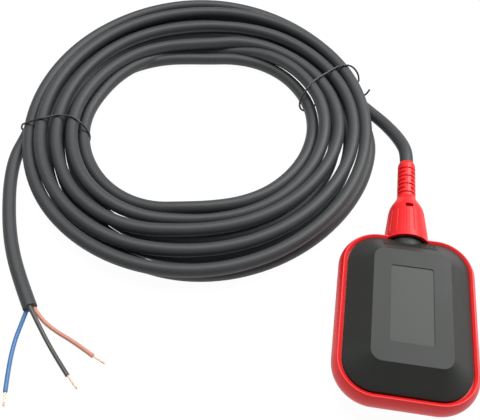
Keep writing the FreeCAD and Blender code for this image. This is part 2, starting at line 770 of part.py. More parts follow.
def switch_case():
    top = SWITCH_Z + SWITCH_T - SWITCH_COVER
    wall = SWITCH_WALL
    case = switch_box(SWITCH_Z, top)
    hollow = block(SWITCH_X + wall, SWITCH_BACK - wall, SWITCH_Y + wall,
                   SWITCH_Y + SWITCH_L - wall, SWITCH_Z + wall, top)
    corners = [post(x, y, SWITCH_Z, top, SWITCH_BOSS_R) for x, y in switch_screw_places()]
    case = case.cut(hollow).fuse([c.common(switch_box(SWITCH_Z, top)) for c in corners])
    half_w, half_h = PLUNGER_W / 2 + FIT, PLUNGER_TALL / 2 + FIT
    cuts = [block(SWITCH_X - 1, SWITCH_X + wall + 0.1, PLUNGER_Y - half_w, PLUNGER_Y + half_w,
                  BALL_Z - half_h, BALL_Z + half_h)]
    for y in terminal_rows().values():
        cuts.append(block(SWITCH_BACK - wall - 0.1, SWITCH_BACK + 1, y - FIT / 2,
                          y + TERMINAL_W + FIT / 2, TERMINAL_Z, TERMINAL_Z + TERMINAL_T + FIT))
    cuts += [post(x, y, SWITCH_Z - 1, top + 1, SWITCH_HOLE_R) for x, y in switch_screw_places()]
    return case.cut(cuts)


def switch_cover():
    z1 = SWITCH_Z + SWITCH_T
    cover = switch_box(z1 - SWITCH_COVER + FIT / 2, z1)
    return cover.cut([post(x, y, z1 - 3, z1 + 1, SWITCH_HOLE_R) for x, y in switch_screw_places()])


def switch_screws():
    seat = SWITCH_Z + SWITCH_T
    length = seat - TRAY_FLOOR - 0.4
    return Part.makeCompound([screw(x, y, seat, length) for x, y in switch_screw_places()])


def switch_plunger():
    tip = PIVOT_X + LEVER_HALF_T / math.cos(SWING) - PLUNGER_TRAVEL + FIT
    blade_face = BLADE_X - PLUNGER_TRAVEL / 2 - BLADE_T / 2 / math.cos(BLADE_HALF_SWING)
    end = blade_face - FIT
    half_w, half_h = PLUNGER_W / 2, PLUNGER_TALL / 2
    stem = block(tip, end, PLUNGER_Y - half_w, PLUNGER_Y + half_w, BALL_Z - half_h, BALL_Z + half_h)
    upright = [e for e in stem.Edges if abs(e.Vertexes[0].X - e.Vertexes[-1].X) < 1e-6
               and abs(e.Vertexes[0].Y - e.Vertexes[-1].Y) < 1e-6]
    stem = stem.makeFillet(0.7, upright)
    inner = SWITCH_X + SWITCH_WALL + FIT / 2
    rim = 0.6
    flange = block(inner, inner + PLUNGER_FLANGE, PLUNGER_Y - half_w - rim, PLUNGER_Y + half_w + rim,
                   BALL_Z - half_h - rim, BALL_Z + half_h + rim)
    return stem.fuse(flange)


def contact_blade():
    """The changeover blade, resting against the normally closed contact."""
    z0 = BALL_Z - BLADE_TALL / 2
    half = BLADE_T / 2
    reach = BLADE_LONG + CONTACT_R + 0.4
    outline = [(-half, 0), (half, 0), (half, reach), (-half, reach)]
    placed = []
    for x, y in outline:
        x, y = turned(x, y, BLADE_HALF_SWING)
        placed.append((BLADE_X + x, BLADE_Y + y))
    blade = plate(placed, z0, BLADE_TALL)
    x, y = turned(0, BLADE_LONG, BLADE_HALF_SWING)
    across = Vector(math.cos(BLADE_HALF_SWING), math.sin(BLADE_HALF_SWING), 0)
    rivet_start = Vector(BLADE_X + x, BLADE_Y + y, BALL_Z) - across * (half + CONTACT_H)
    rivet = Part.makeCylinder(CONTACT_R, BLADE_T + 2 * CONTACT_H, rivet_start, across)
    eye = post(BLADE_X, BLADE_Y, z0, z0 + BLADE_TALL, BLADE_EYE_R)
    bore = post(BLADE_X, BLADE_Y, z0 - 1, z0 + BLADE_TALL + 1, BLADE_POST_R + PIN_FIT)
    return blade.fuse([rivet, eye]).cut(bore)


def terminal_tab(row, x0):
    """A flat tab from x0 inside the case to its end outside, with the wire's hole."""
    y0 = terminal_rows()[row]
    x1 = SWITCH_BACK + TERMINAL_OUT
    tab = block(x0, x1, y0 + FIT / 2, y0 + TERMINAL_W - FIT / 2, TERMINAL_Z + FIT / 2,
                TERMINAL_Z + TERMINAL_T)
    return tab


def terminal_common():
    tab = terminal_tab("common", BLADE_X - BLADE_EYE_R)
    top = BALL_Z + BLADE_TALL / 2 + 0.3
    return tab.fuse(post(BLADE_X, BLADE_Y, TERMINAL_Z + FIT / 2, top, BLADE_POST_R))


def fixed_contact(row, side):
    """A terminal with an upright plate and a contact that faces the blade."""
    stroke = BLADE_LONG * math.sin(BLADE_HALF_SWING)
    face = BLADE_X + side * (stroke + BLADE_T / 2 + CONTACT_H + 2 * FIT)
    contact_y = BLADE_Y + BLADE_LONG * math.cos(BLADE_HALF_SWING)
    plate_x = face + side * CONTACT_H
    x0, x1 = sorted((plate_x, plate_x + side * 0.7))
    y0 = terminal_rows()[row] + FIT / 2
    low = TERMINAL_Z + TERMINAL_T
    tab = terminal_tab(row, x0)
    foot = block(x0, x1, y0, y0 + TERMINAL_W - FIT, TERMINAL_Z + FIT / 2, low + 1.0)
    upright = block(x0, x1, y0, contact_y + CONTACT_R + 0.2, low + 0.5, BALL_Z + BLADE_TALL / 2)
    start = Vector(min(face, plate_x), contact_y, BALL_Z)
    rivet = Part.makeCylinder(CONTACT_R, CONTACT_H + 0.1 if side > 0 else CONTACT_H,
                              start, Vector(1, 0, 0))
    return tab.fuse([foot, upright, rivet])


# ---- Wires and clamp ----

def wire_route(row, height, turn_y, core):
    """From a tab's top, up, along the case and down to the core's place in the cable."""
    y = terminal_rows()[row] + TERMINAL_W / 2
    core_x, core_z = core
    return [
        (WIRE_LINE_X, y, TERMINAL_Z + TERMINAL_T + FIT / 2),
        (WIRE_LINE_X, y, height),
        (WIRE_LINE_X, turn_y, height),
        (core_x, CABLE_IN - WIRE_END, MID + core_z),
        (core_x, CABLE_IN - FIT / 2, MID + core_z),
    ]


def inner_wires():
    low = TERMINAL_Z + TERMINAL_T + 5.2
    step = 2 * WIRE_R + 0.6
    side = CORE_RING * math.cos(math.radians(30))
    drop = -CORE_RING / 2
    return {
        "wire_closed": wire_route("closed", low, 8.0, (side, drop)),
        "wire_open": wire_route("open", low + step, 4.5, (-side, drop)),
        "wire_common": wire_route("common", low + 2 * step, 11.0, (0.0, CORE_RING)),
    }


def cable_entry():
    """The sheathed cable inside the nut and gland, as far as the clamp."""
    return neck_cylinder(CABLE_R, CABLE_IN, NUT_END_Y)


def cable_clamp():
    y0, y1 = CLAMP_Y, CLAMP_Y + CLAMP_LONG
    bar = block(-CLAMP_W / 2, CLAMP_W / 2, y0, y1, MID + FIT, MID + CLAMP_T)
    hump = neck_cylinder(CABLE_R + CLAMP_T * 0.6, y0, y1).common(
        block(-CLAMP_W / 2, CLAMP_W / 2, y0, y1, MID + FIT, BODY_THICK))
    holes = [post(x, y, MID - 1, MID + CLAMP_T + 1, SCREW_R + 0.2) for x, y in clamp_places()]
    return bar.fuse(hump).cut([neck_cylinder(BORE_R, y0 - 1, y1 + 1)] + holes)


def clamp_screws():
    length = CLAMP_T + CLAMP_SCREW_L - 1.5
    return Part.makeCompound([screw(x, y, MID + CLAMP_T, length) for x, y in clamp_places()])


# ---- Cable ----

def oval_wire(half_x, half_y, z):
    """An oval of four tangent arcs with these half lengths."""
    shift = (half_x - half_y) / (2 - math.sqrt(2))
    end_r = half_x - shift
    side_r = half_y + shift
    diagonal = end_r * math.sqrt(0.5)
    joint = (shift + diagonal, diagonal)

    def at(x, y):
        return Vector(x, y, z)

    jx, jy = joint
    arcs = [
        ((jx, -jy), (half_x, 0), (jx, jy)),
        ((jx, jy), (0, side_r - shift), (-jx, jy)),
        ((-jx, jy), (-half_x, 0), (-jx, -jy)),
        ((-jx, -jy), (0, shift - side_r), (jx, -jy)),
    ]
    return Part.Wire([Part.Arc(at(*a), at(*b), at(*c)).toShape() for a, b, c in arcs])


def place_coil(shape):
    shape.rotate(Vector(0, 0, 0), Vector(0, 0, 1), COIL_TURN)
    shape.translate(Vector(COIL_X, COIL_Y, 0))
    return shape


def ring_point(share, angle):
    """A point across the coil: share 0 is its inner edge and 1 its outer edge."""
    a = COIL_IN_A + share * (COIL_OUT_A - COIL_IN_A)
    b = COIL_IN_B + share * (COIL_OUT_B - COIL_IN_B)
    return a * math.cos(angle), b * math.sin(angle)


def ring_slant(share, angle, across):
    """The cosine between a line across the coil and the coil's own side."""
    x, y = ring_point(share, angle)
    a = COIL_IN_A + share * (COIL_OUT_A - COIL_IN_A)
    b = COIL_IN_B + share * (COIL_OUT_B - COIL_IN_B)
    side = Vector(x / a ** 2, y / b ** 2, 0)
    side.normalize()
    return side.dot(across)


def tie_line(angles):
    """A tie's line over the coil: inner end, direction, length and room at each side."""
    first, last = (math.radians(a) for a in angles)
    inner, outer = Vector(*ring_point(0, first), 0), Vector(*ring_point(1, last), 0)
    across = outer - inner
    width = across.Length
    across.normalize()
    room = TIE_R + TIE_GAP
    return (inner, across, width, room / ring_slant(0, first, across),
            room / ring_slant(1, last, across))


def tie_loop(angles):
    """A closed loop of tie wire round the coil's section, with cut corners."""
    inner, across, width, inner_room, outer_room = tie_line(angles)
    low, high = TIE_R, COIL_HIGH + TIE_R + TIE_GAP
    left, right = -inner_room, width + outer_room
    top, foot = COIL_TOP_C, TIE_FOOT_C
    outline = [
        (left + foot, low), (right - foot, low), (right, low + foot), (right, high - top),
        (right - top, high), (left + top, high), (left, high - top), (left, low + foot),
    ]
    corners = [inner + across * u + Vector(0, 0, z) for u, z in outline]
    middle = (corners[0] + corners[1]) * 0.5
    path = Part.makePolygon([middle] + corners[1:] + [corners[0], middle])
    ring = Part.Wire([Part.Circle(middle, across, TIE_R).toShape()])
    return path.makePipeShell([ring], True, False, 1)


def cable_coil():
    """One closed solid of the coil's outer shape, grooved under its ties."""
    outer = prism(oval_wire(COIL_OUT_A, COIL_OUT_B, 0), COIL_HIGH)
    inner = prism(oval_wire(COIL_IN_A, COIL_IN_B, -1), COIL_HIGH + 2)
    coil = outer.cut(inner)
    top = [e for e in coil.Edges if e.BoundBox.ZMin > COIL_HIGH - 0.1]
    coil = coil.makeChamfer(COIL_TOP_C, top)
    foot = [e for e in coil.Edges if e.BoundBox.ZMax < 0.1]
    coil = coil.makeChamfer(COIL_FOOT_C, foot)
    half, over = TIE_R + TIE_GAP, 4.0
    for angles in TIE_ANGLES.values():
        start, across, width, _, _ = tie_line(angles)
        slot = Part.makeBox(width + 2 * over, 2 * half, TIE_R + half + 1, Vector(-over, -half, -1))
        slot.rotate(Vector(0, 0, 0), Vector(0, 0, 1), math.degrees(math.atan2(across.y, across.x)))
        slot.translate(start)
        coil = coil.cut(slot)
    return place_coil(coil)


def strands(colour):
    """The bared copper at a core's end, as one tapered bundle."""
    start = Vector(*CORE_ROUTES[colour][-1])
    tip = Vector(*STRAND_TIPS[colour])
    way = tip - start
    length = way.Length - FIT
    way.normalize()
    return Part.makeCone(STRAND_R * 1.1, STRAND_R * 0.9, length, start + way * FIT, way)


# ---- The parts and their files ----

def build_parts():
    parts = {
        "front_shell": front_shell(),
        "rear_shell": rear_shell(),
        "bumper_frame": bumper_frame(),
        "gland_body": gland_body(),
        "gland_seal": gland_seal(),
        "gland_washer": gland_washer(),
        "gland_nut": gland_nut(),
        "switch_chassis": switch_chassis(),
        "capsule_lid": capsule_lid(),
        "capsule_screws": capsule_screws(),
        "steel_ball": steel_ball(),
        "cam_lever": cam_lever(),
        "lever_pin": lever_pin(),
        "switch_case": switch_case(),
        "switch_cover": switch_cover(),
        "switch_screws": switch_screws(),
        "switch_plunger": switch_plunger(),
        "contact_blade": contact_blade(),
        "terminal_common": terminal_common(),
        "terminal_open": fixed_contact("open", 1),
        "terminal_closed": fixed_contact("closed", -1),
        "cable_clamp": cable_clamp(),
        "clamp_screws": clamp_screws(),
        "cable_entry": cable_entry(),
        "cable_coil": cable_coil(),
        "cable_lead": tube(LEAD_ROUTE, CABLE_R, "cable_lead"),
        "cable_tail": tube(TAIL_ROUTE, CABLE_R, "cable_tail"),
    }
    for name, route in inner_wires().items():
        parts[name] = tube(route, WIRE_R, name)
    for colour, route in CORE_ROUTES.items():
        parts["core_" + colour] = tube(route, CORE_R, "core_" + colour)
        parts["strands_" + colour] = strands(colour)
    for side, angles in TIE_ANGLES.items():
        parts["coil_tie_" + side] = place_coil(tie_loop(angles))
    return parts


def main():
    os.makedirs("parts", exist_ok=True)
    for name, shape in build_parts().items():
        shape.exportStep("parts/%s.step" % name)


main()
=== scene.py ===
"""The looks of a float level switch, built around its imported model.

The float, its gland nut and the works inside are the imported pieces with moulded,
rubber and metal finishes. The cable, its cores, copper strands and ties are made here.
Everything is in metres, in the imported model's frame.
"""

import json
import math
import random

import bpy
from bpy.props import FloatProperty, FloatVectorProperty, PointerProperty
from mathutils import Euler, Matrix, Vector


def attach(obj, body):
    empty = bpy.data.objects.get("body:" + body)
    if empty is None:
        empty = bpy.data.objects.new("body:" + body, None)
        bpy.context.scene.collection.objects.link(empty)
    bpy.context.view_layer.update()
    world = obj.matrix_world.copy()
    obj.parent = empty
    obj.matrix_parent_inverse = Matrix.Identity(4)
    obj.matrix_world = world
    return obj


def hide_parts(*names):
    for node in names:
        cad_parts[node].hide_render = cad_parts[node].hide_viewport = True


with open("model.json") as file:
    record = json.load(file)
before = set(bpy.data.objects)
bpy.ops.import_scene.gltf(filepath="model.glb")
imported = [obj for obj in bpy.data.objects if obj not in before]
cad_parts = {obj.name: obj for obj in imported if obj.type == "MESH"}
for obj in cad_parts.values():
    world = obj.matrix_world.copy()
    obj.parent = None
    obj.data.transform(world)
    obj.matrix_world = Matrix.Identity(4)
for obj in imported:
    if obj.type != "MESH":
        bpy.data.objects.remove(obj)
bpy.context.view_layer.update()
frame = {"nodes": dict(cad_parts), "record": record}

bl_info = {
    "name": "Float Level Switch",
    "version": (1, 0, 0),
    "blender": (4, 5, 0),
    "location": "View3D > Sidebar > Float Switch",
    "description": "Cable, wires, ties, finishes and studio for a float level switch",
    "category": "Add Mesh",
}

MM = 0.001
BODY = "float_body"

# The cable's way out of the nut, millimetres, until it dips under the coil's outer turn.
LEAD_COURSE = (
    (0.0, 119.5, 20.75),
    (0.0, 129.0, 20.75),
    (-2.1, 139.5, 18.3),
    (-7.0, 153.0, 13.9),
    (-14.6, 167.3, 9.4),
    (-25.4, 181.6, 5.6),
    (-34.0, 191.0, 4.5),
)
# The cable's free end, from the coil to where its sheath is cut back.
TAIL_COURSE = (
    (-276.0, 118.0, 4.5),
    (-277.6, 99.0, 4.5),
    (-273.4, 76.5, 4.5),
    (-265.0, 51.0, 4.5),
    (-255.5, 28.5, 4.5),
    (-242.5, 5.5, 4.5),
    (-225.7, -17.6, 4.5),
)
# The coil: its centre and turn, the half lengths of its outside, and its course.
# A row is the angle gone round, the inset from the outside and the height, in
# degrees and millimetres. Four turns wind inward on top, and the rest come back below.
COIL_CENTRE = (-152.0, 151.0)
COIL_TURN = math.radians(8.77)
COIL_HALF = (132.0, 138.0)
COIL_STEP = 15
COIL_COURSE = (
    (24, 5, 4.5), (45, 4, 4.8), (90, 2.5, 9), (135, 5, 9), (180, 7.2, 8.5), (225, 5.5, 11),
    (270, 4.2, 12.8), (315, 6.5, 12.8), (360, 8.4, 12.8), (405, 12, 12.8), (450, 17.2, 12.5),
    (495, 17, 12.5), (540, 16.2, 12.5), (560, 15.5, 12.5), (585, 15, 12.5), (607, 16.5, 12.5),
    (630, 19.8, 12.5), (675, 18.5, 12.5), (720, 16.8, 12.5), (765, 25, 12.5), (810, 36, 12.5),
    (855, 32, 12.5), (900, 28.2, 12.5), (920, 26.8, 12.5), (945, 25.5, 12.5), (967, 29.5, 12.5),
    (990, 36, 12.5), (1035, 32, 12.5), (1080, 27.8, 12.5), (1125, 40, 12.5), (1147, 49, 12.8),
    (1170, 59, 13), (1215, 49, 12.5), (1260, 39.6, 12.5), (1280, 38.2, 12.5), (1305, 37, 12.5),
    (1327, 42, 8.5), (1350, 49.5, 4.5), (1395, 41.5, 8), (1440, 38, 12.5), (1485, 48, 12.5),
    (1507, 54.5, 7), (1530, 58.5, 4.5), (1560, 56.5, 6), (1580, 53.5, 7), (1600, 50, 5.5),
    (1620, 45.9, 4.5), (1665, 48, 4.5), (1690, 52.5, 6.5), (1710, 56.5, 9.5), (1755, 50.5, 7),
    (1800, 46, 5), (1822, 48, 4.5), (1845, 53, 4.5), (1867, 61, 4.5), (1890, 67.5, 4.5),
    (1920, 58.5, 4.5), (1940, 49.5, 4.5), (1960, 42.5, 4.5), (1980, 37.5, 4.5), (2000, 36.3, 4.5),
    (2025, 33.4, 4.5), (2047, 29.8, 4.5), (2070, 33.5, 4.5), (2115, 29.3, 4.5), (2160, 30, 4.5),
    (2170, 33, 4.5), (2205, 31.5, 4.5), (2250, 37, 4.5), (2295, 32, 4.5), (2340, 28.5, 4.5),
    (2360, 26.8, 4.5), (2385, 23.5, 4.5), (2407, 19.8, 4.5), (2430, 18.5, 4.5), (2475, 17.8, 4.5),
    (2520, 19.5, 4.5), (2530, 25, 4.5), (2565, 22.5, 4.5), (2610, 24, 4.5), (2655, 22, 4.5),
    (2700, 19.5, 4.5), (2720, 17.5, 4.5), (2745, 14, 4.5), (2767, 10.8, 4.5), (2790, 5.9, 4.5),
    (2835, 4.5, 4.5), (2874, 4, 4.5), (2885, 11, 4.5), (2890, 16, 4.5), (2900, 15, 4.5),
    (2925, 13.5, 4.5), (2970, 14.5, 4.5), (3015, 13, 4.5), (3040, 11.5, 4.5), (3055, 9, 4.5),
)

# The bared cores, from just inside the sheath, and the tips of their copper.
CORE_COURSES = {
    "blue": (
        (-227.9, -17.4, 3.2), (-228.6, -27.5, 1.8), (-228.9, -39.5, 1.35),
        (-226.6, -55.5, 1.35), (-223.2, -70.0, 1.35),
    ),
    "black": (
        (-226.6, -16.4, 6.5), (-219.6, -24.6, 4.4), (-211.3, -34.2, 2.0),
        (-201.2, -44.9, 1.35), (-190.8, -55.0, 1.35),
    ),
    "brown": (
        (-225.2, -15.4, 3.2), (-217.5, -23.0, 1.9), (-206.5, -28.9, 1.35),
        (-192.5, -34.4, 1.35), (-179.5, -41.0, 1.35),
    ),
}
COPPER_TIPS = {
    "blue": (-221.5, -78.3, 1.0),
    "black": (-183.3, -61.6, 1.0),
    "brown": (-171.0, -44.6, 1.0),
}

# The ties, once round the coil each, in the coil's own plane and height, and the
# right one's loose end.
TIE_COURSES = {
    "left": (
        ((-132.2, -6.5, 6), (-131, -7.5, 11), (-125.5, -8.6, 14.3), (-117, -8.3, 18),
         (-110, -6.5, 17.7), (-103.5, -4.2, 18.1), (-98, -4.5, 17.7), (-92, -5.8, 18.1),
         (-87.5, -8.5, 16.5), (-83, -10.4, 11.5), (-80, -13.3, 6), (-81, -17, 1.7),
         (-84, -16, 0.8), (-100, -10, 0.8), (-128, -6.5, 0.8), (-131.8, -6, 2), (-132.2, -6.5, 6)),
    ),
    "right": (
        ((125.8, 47, 3), (125.5, 47.3, 8), (121.8, 49.2, 13.8), (117.2, 49.1, 17.8),
         (112, 48.8, 18.3), (105.7, 46.6, 18), (98.5, 40.4, 18.2), (89.2, 33.3, 18),
         (84.5, 27.8, 17.6), (79.5, 21.8, 14), (76.8, 18.6, 9), (76.8, 17.2, 4),
         (79.7, 15.8, 1.2), (84, 18, 0.8), (100, 32, 0.8), (122, 46, 0.8), (125.8, 47, 3)),
        ((123, 38, 1), (126.5, 31, 3), (128.9, 27, 7.5), (131.6, 30.4, 10)),
    ),
}
# The copper: rings of wires, each its distance out, times a wire and a spread, and
# its count, and how the wires twist, flare and part towards their tips.
COPPER_RINGS = ((0.0, 1), (1.05, 6), (2.0, 11))
COPPER_STEPS = 6
COPPER_REACH = (0.84, 1.04)  # shares of the way to the tip, drawn for each wire
COPPER_SUNK = 0.8            # millimetres inside the core
COPPER_ROOT = 0.45           # spread inside the core
COPPER_SPREAD = 0.52         # spread where the core ends
COPPER_FLARE = 0.18          # more of it at the tip
COPPER_TWIST = 4.2           # radians from the core's end to the tip
COPPER_LOOSE = 0.22          # millimetres that a tip may stray

# The label recess's floor, metres, and how much paler its colour is made, a painted sheen.
RECESS_MIDDLE = (0.0, 0.0005, 0.041)
RECESS_HALF = (0.0121, 0.0242, 0.0002)
RECESS_PAINTED_SHEEN = 0.8

CORD_STEPS = 6               # pieces between two control points
WIRE_STEPS = 5


# ---- Sizes and colours ----

class FloatSwitchSizes(bpy.types.PropertyGroup):
    cable: FloatProperty(
        name="Cable", description="Diameter of the cable's sheath",
        default=9.0 * MM, min=0.001, unit="LENGTH")
    core: FloatProperty(
        name="Core", description="Diameter of one insulated core",
        default=2.7 * MM, min=0.0005, unit="LENGTH")
    copper: FloatProperty(
        name="Copper wire", description="Diameter of one bare copper wire",
        default=0.36 * MM, min=0.0001, unit="LENGTH")
    tie: FloatProperty(
        name="Tie", description="Diameter of the tie wire",
        default=1.5 * MM, min=0.0005, unit="LENGTH")


def colour_property(name, description, default):
    return FloatVectorProperty(name=name, description=description, default=default,
                               size=3, min=0, max=1, subtype="COLOR")


class FloatSwitchColours(bpy.types.PropertyGroup):
    shell: colour_property("Shells", "Black moulded shells", (0.032, 0.035, 0.032))
    red: colour_property("Red parts", "Bumper frame and gland nut", (0.86, 0.010, 0.013))
    sheath: colour_property("Cable", "Rubber sheath of the cable", (0.046, 0.049, 0.051))
    blue: colour_property("Blue core", "Insulation of the blue core", (0.055, 0.19, 0.44))
    black: colour_property("Black core", "Insulation of the black core", (0.075, 0.078, 0.072))
    brown: colour_property("Brown core", "Insulation of the brown core", (0.66, 0.29, 0.205))
    copper: colour_property("Copper", "Bare copper wires", (0.93, 0.60, 0.40))
    tie: colour_property("Ties", "Tie wire", (0.035, 0.036, 0.038))


class FloatSwitchStage(bpy.types.PropertyGroup):
    floor: colour_property("Floor", "Floor under the object", (0.86, 0.86, 0.86))
    key: FloatProperty(
        name="Key light", description="Power of the large light overhead",
        default=16.0, min=0, unit="POWER")
    fill: FloatProperty(
        name="World light", description="Strength of the even light all round",
        default=0.27, min=0)


# ---- Helpers for pieces ----

def settings():
    return bpy.context.scene


def link(obj):
    bpy.context.scene.collection.objects.link(obj)
    return obj


def round_lines(name, courses, diameter, material, steps, around):
    """Round lines in one object, each a smooth open spline with its millimetre
    points as control points."""
    curve = bpy.data.curves.new(name, "CURVE")
    curve.dimensions = "3D"
    for points in courses:
        spline = curve.splines.new("NURBS")
        spline.points.add(len(points) - 1)
        for point, place in zip(spline.points, points):
            point.co = (*(c * MM for c in place), 1)
        spline.order_u = 3
        spline.use_endpoint_u = True
        spline.resolution_u = steps
    curve.bevel_depth = diameter / 2
    curve.bevel_resolution = around
    curve.use_fill_caps = True
    curve.materials.append(material)
    return link(bpy.data.objects.new(name, curve))


# ---- The coil's course ----

def course_at(angle):
    """Inset and height at an angle, on a smooth line through the course's rows."""
    rows = COIL_COURSE
    i = max(j for j, row in enumerate(rows) if row[0] <= angle or j == 0)
    i = min(i, len(rows) - 2)
    before, first = rows[max(i - 1, 0)], rows[i]
    last, after = rows[i + 1], rows[min(i + 2, len(rows) - 1)]
    span = last[0] - first[0]
    t = (angle - first[0]) / span
    found = []
    for k in (1, 2):
        rise_in = (last[k] - before[k]) / max(last[0] - before[0], 1) * span
        rise_out = (after[k] - first[k]) / max(after[0] - first[0], 1) * span
        found.append(
            (2 * t ** 3 - 3 * t ** 2 + 1) * first[k] + (t ** 3 - 2 * t ** 2 + t) * rise_in
            + (3 * t ** 2 - 2 * t ** 3) * last[k] + (t ** 3 - t ** 2) * rise_out)
    return found


def coil_place(x, y, z):
    """A point of the coil's own plane, placed in the model."""
    c, s = math.cos(COIL_TURN), math.sin(COIL_TURN)
    return COIL_CENTRE[0] + c * x - s * y, COIL_CENTRE[1] + s * x + c * y, z


def coil_points():
    """Control points of all the turns, set out a little so that the smooth line
    between them lies at the course's inset."""
    swell = 4 / (3 + math.cos(math.radians(COIL_STEP)))
    points = []
    angle, end = COIL_COURSE[0][0], COIL_COURSE[-1][0]
    while angle <= end:
        inset, height = course_at(angle)
        turn = math.radians(angle)
        x = (COIL_HALF[0] - inset) * math.cos(turn) * swell
        y = (COIL_HALF[1] - inset) * math.sin(turn) * swell
        points.append(coil_place(x, y, height))
        angle += COIL_STEP
    return points


# ---- Shared effects for the finishes ----

GRAIN_DEPTH = 0.00005       # metres
CLOUDS_PER_METRE = 55
CLOUD_SHARE = 0.6           # of a moulded surface's unevenness, the rest being grain
GRAIN_SHARE = 0.4
# A painted glint: a thin line of paler colour along each cord stands in for the highlight on its
# mould seam.
GLINT_WANDER = 0.35          # of the way round a cord
GLINT_WIDTH = 0.016          # of the way round a cord
GLINT_SHARE = 0.5            # how far the seam's painted glint takes the paler colour
LINES_HEIGHT = 0.8          # against the grain's

def new_group(name, inputs, outputs):
    group = bpy.data.node_groups.new(name, "ShaderNodeTree")
    for label, kind, default in inputs:
        socket = group.interface.new_socket(label, in_out="INPUT", socket_type=kind)
        socket.default_value = default
    for label, kind in outputs:
        group.interface.new_socket(label, in_out="OUTPUT", socket_type=kind)
    return group, group.nodes.new("NodeGroupInput"), group.nodes.new("NodeGroupOutput")


def math_node(nodes, links, operation, first, second):
    node = nodes.new("ShaderNodeMath")
    node.operation = operation
    for socket, value in zip(node.inputs, (first, second)):
        if isinstance(value, (int, float)):
            socket.default_value = value
        else:
            links.new(value, socket)
    return node.outputs[0]


def moulded_grain():
    """Fine grain and slow cloudiness of a moulded surface."""
    if "Moulded grain" in bpy.data.node_groups:
        return bpy.data.node_groups["Moulded grain"]
    group, given, made = new_group(
        "Moulded grain",
        [("Colour", "NodeSocketColor", (0.5, 0.5, 0.5, 1)),
         ("Grains per metre", "NodeSocketFloat", 3000.0),
         ("Cloudiness", "NodeSocketFloat", 0.1),
         ("Roughness", "NodeSocketFloat", 0.5),
         ("Roughness spread", "NodeSocketFloat", 0.1)],
        [("Colour", "NodeSocketColor"), ("Roughness", "NodeSocketFloat"),
         ("Height", "NodeSocketFloat")])
    nodes, links = group.nodes, group.links
    place = nodes.new("ShaderNodeTexCoord")
    fine = nodes.new("ShaderNodeTexNoise")
    fine.inputs["Detail"].default_value = 3
    fine.inputs["Roughness"].default_value = 0.6
    links.new(place.outputs["Object"], fine.inputs["Vector"])
    links.new(given.outputs["Grains per metre"], fine.inputs["Scale"])
    slow = nodes.new("ShaderNodeTexNoise")
    slow.inputs["Scale"].default_value = CLOUDS_PER_METRE
    slow.inputs["Detail"].default_value = 4
    links.new(place.outputs["Object"], slow.inputs["Vector"])
    both = math_node(nodes, links, "MULTIPLY_ADD", slow.outputs["Fac"], CLOUD_SHARE)
    grain = math_node(nodes, links, "MULTIPLY", fine.outputs["Fac"], GRAIN_SHARE)
    links.new(grain, both.node.inputs[2])
    swing = math_node(nodes, links, "SUBTRACT", both, 0.5)
    shade = math_node(nodes, links, "MULTIPLY", swing, given.outputs["Cloudiness"])
    shade = math_node(nodes, links, "ADD", shade, 1.0)
    tint = nodes.new("ShaderNodeVectorMath")
    tint.operation = "SCALE"
    links.new(given.outputs["Colour"], tint.inputs[0])
    links.new(shade, tint.inputs["Scale"])
    links.new(tint.outputs[0], made.inputs["Colour"])
    spread = math_node(nodes, links, "MULTIPLY", swing, given.outputs["Roughness spread"])
    rough = math_node(nodes, links, "ADD", spread, given.outputs["Roughness"])
    links.new(rough, made.inputs["Roughness"])
    links.new(fine.outputs["Fac"], made.inputs["Height"])
    return group


def sheath_lines():
    """Fine lines that run along a cord, and a painted glint, a paler line for the
    highlight on its mould seam, from its own lengthwise and round-about places."""
    if "Sheath lines" in bpy.data.node_groups:
        return bpy.data.node_groups["Sheath lines"]
    group, given, made = new_group(
        "Sheath lines",
        [("Lines round", "NodeSocketFloat", 60.0),
         ("Stretch", "NodeSocketFloat", 40.0),
         ("Seam place", "NodeSocketFloat", 0.3),
         ("Seam width", "NodeSocketFloat", 0.02)],
        [("Lines", "NodeSocketFloat"), ("Seam", "NodeSocketFloat")])
    nodes, links = group.nodes, group.links
    place = nodes.new("ShaderNodeTexCoord")
    parts = nodes.new("ShaderNodeSeparateXYZ")
    links.new(place.outputs["UV"], parts.inputs[0])
    round_about = math_node(nodes, links, "MULTIPLY", parts.outputs["Y"],
                            given.outputs["Lines round"])
    along = math_node(nodes, links, "MULTIPLY", parts.outputs["X"], given.outputs["Stretch"])
    joined = nodes.new("ShaderNodeCombineXYZ")
    links.new(along, joined.inputs["X"])
    links.new(round_about, joined.inputs["Y"])
    lines = nodes.new("ShaderNodeTexNoise")
    lines.inputs["Scale"].default_value = 1
    lines.inputs["Detail"].default_value = 2
    links.new(joined.outputs[0], lines.inputs["Vector"])
    links.new(lines.outputs["Fac"], made.inputs["Lines"])
    glint_wander = nodes.new("ShaderNodeTexNoise")
    glint_wander.noise_dimensions = "1D"
    glint_wander.inputs["Scale"].default_value = 1
    glint_wander.inputs["Detail"].default_value = 1
    links.new(along, glint_wander.inputs["W"])
    glint_path = math_node(nodes, links, "MULTIPLY_ADD", glint_wander.outputs["Fac"], GLINT_WANDER)
    links.new(given.outputs["Seam place"], glint_path.node.inputs[2])
    away = math_node(nodes, links, "SUBTRACT", parts.outputs["Y"], glint_path)
    away = math_node(nodes, links, "ABSOLUTE", away, 0)
    glint_line = math_node(nodes, links, "DIVIDE", away, given.outputs["Seam width"])
    glint_line = math_node(nodes, links, "SUBTRACT", 1.0, glint_line)
    glint_line.node.use_clamp = True
    links.new(glint_line, made.inputs["Seam"])
    return group


def new_material(name):
    material = bpy.data.materials.new(name)
    material.use_nodes = True
    nodes, links = material.node_tree.nodes, material.node_tree.links
    return material, nodes, links, nodes["Principled BSDF"]


def add_bump(nodes, links, shader, height, strength):
    bump = nodes.new("ShaderNodeBump")
    bump.inputs["Strength"].default_value = strength
    bump.inputs["Distance"].default_value = GRAIN_DEPTH
    links.new(height, bump.inputs["Height"])
    links.new(bump.outputs[0], shader.inputs["Normal"])


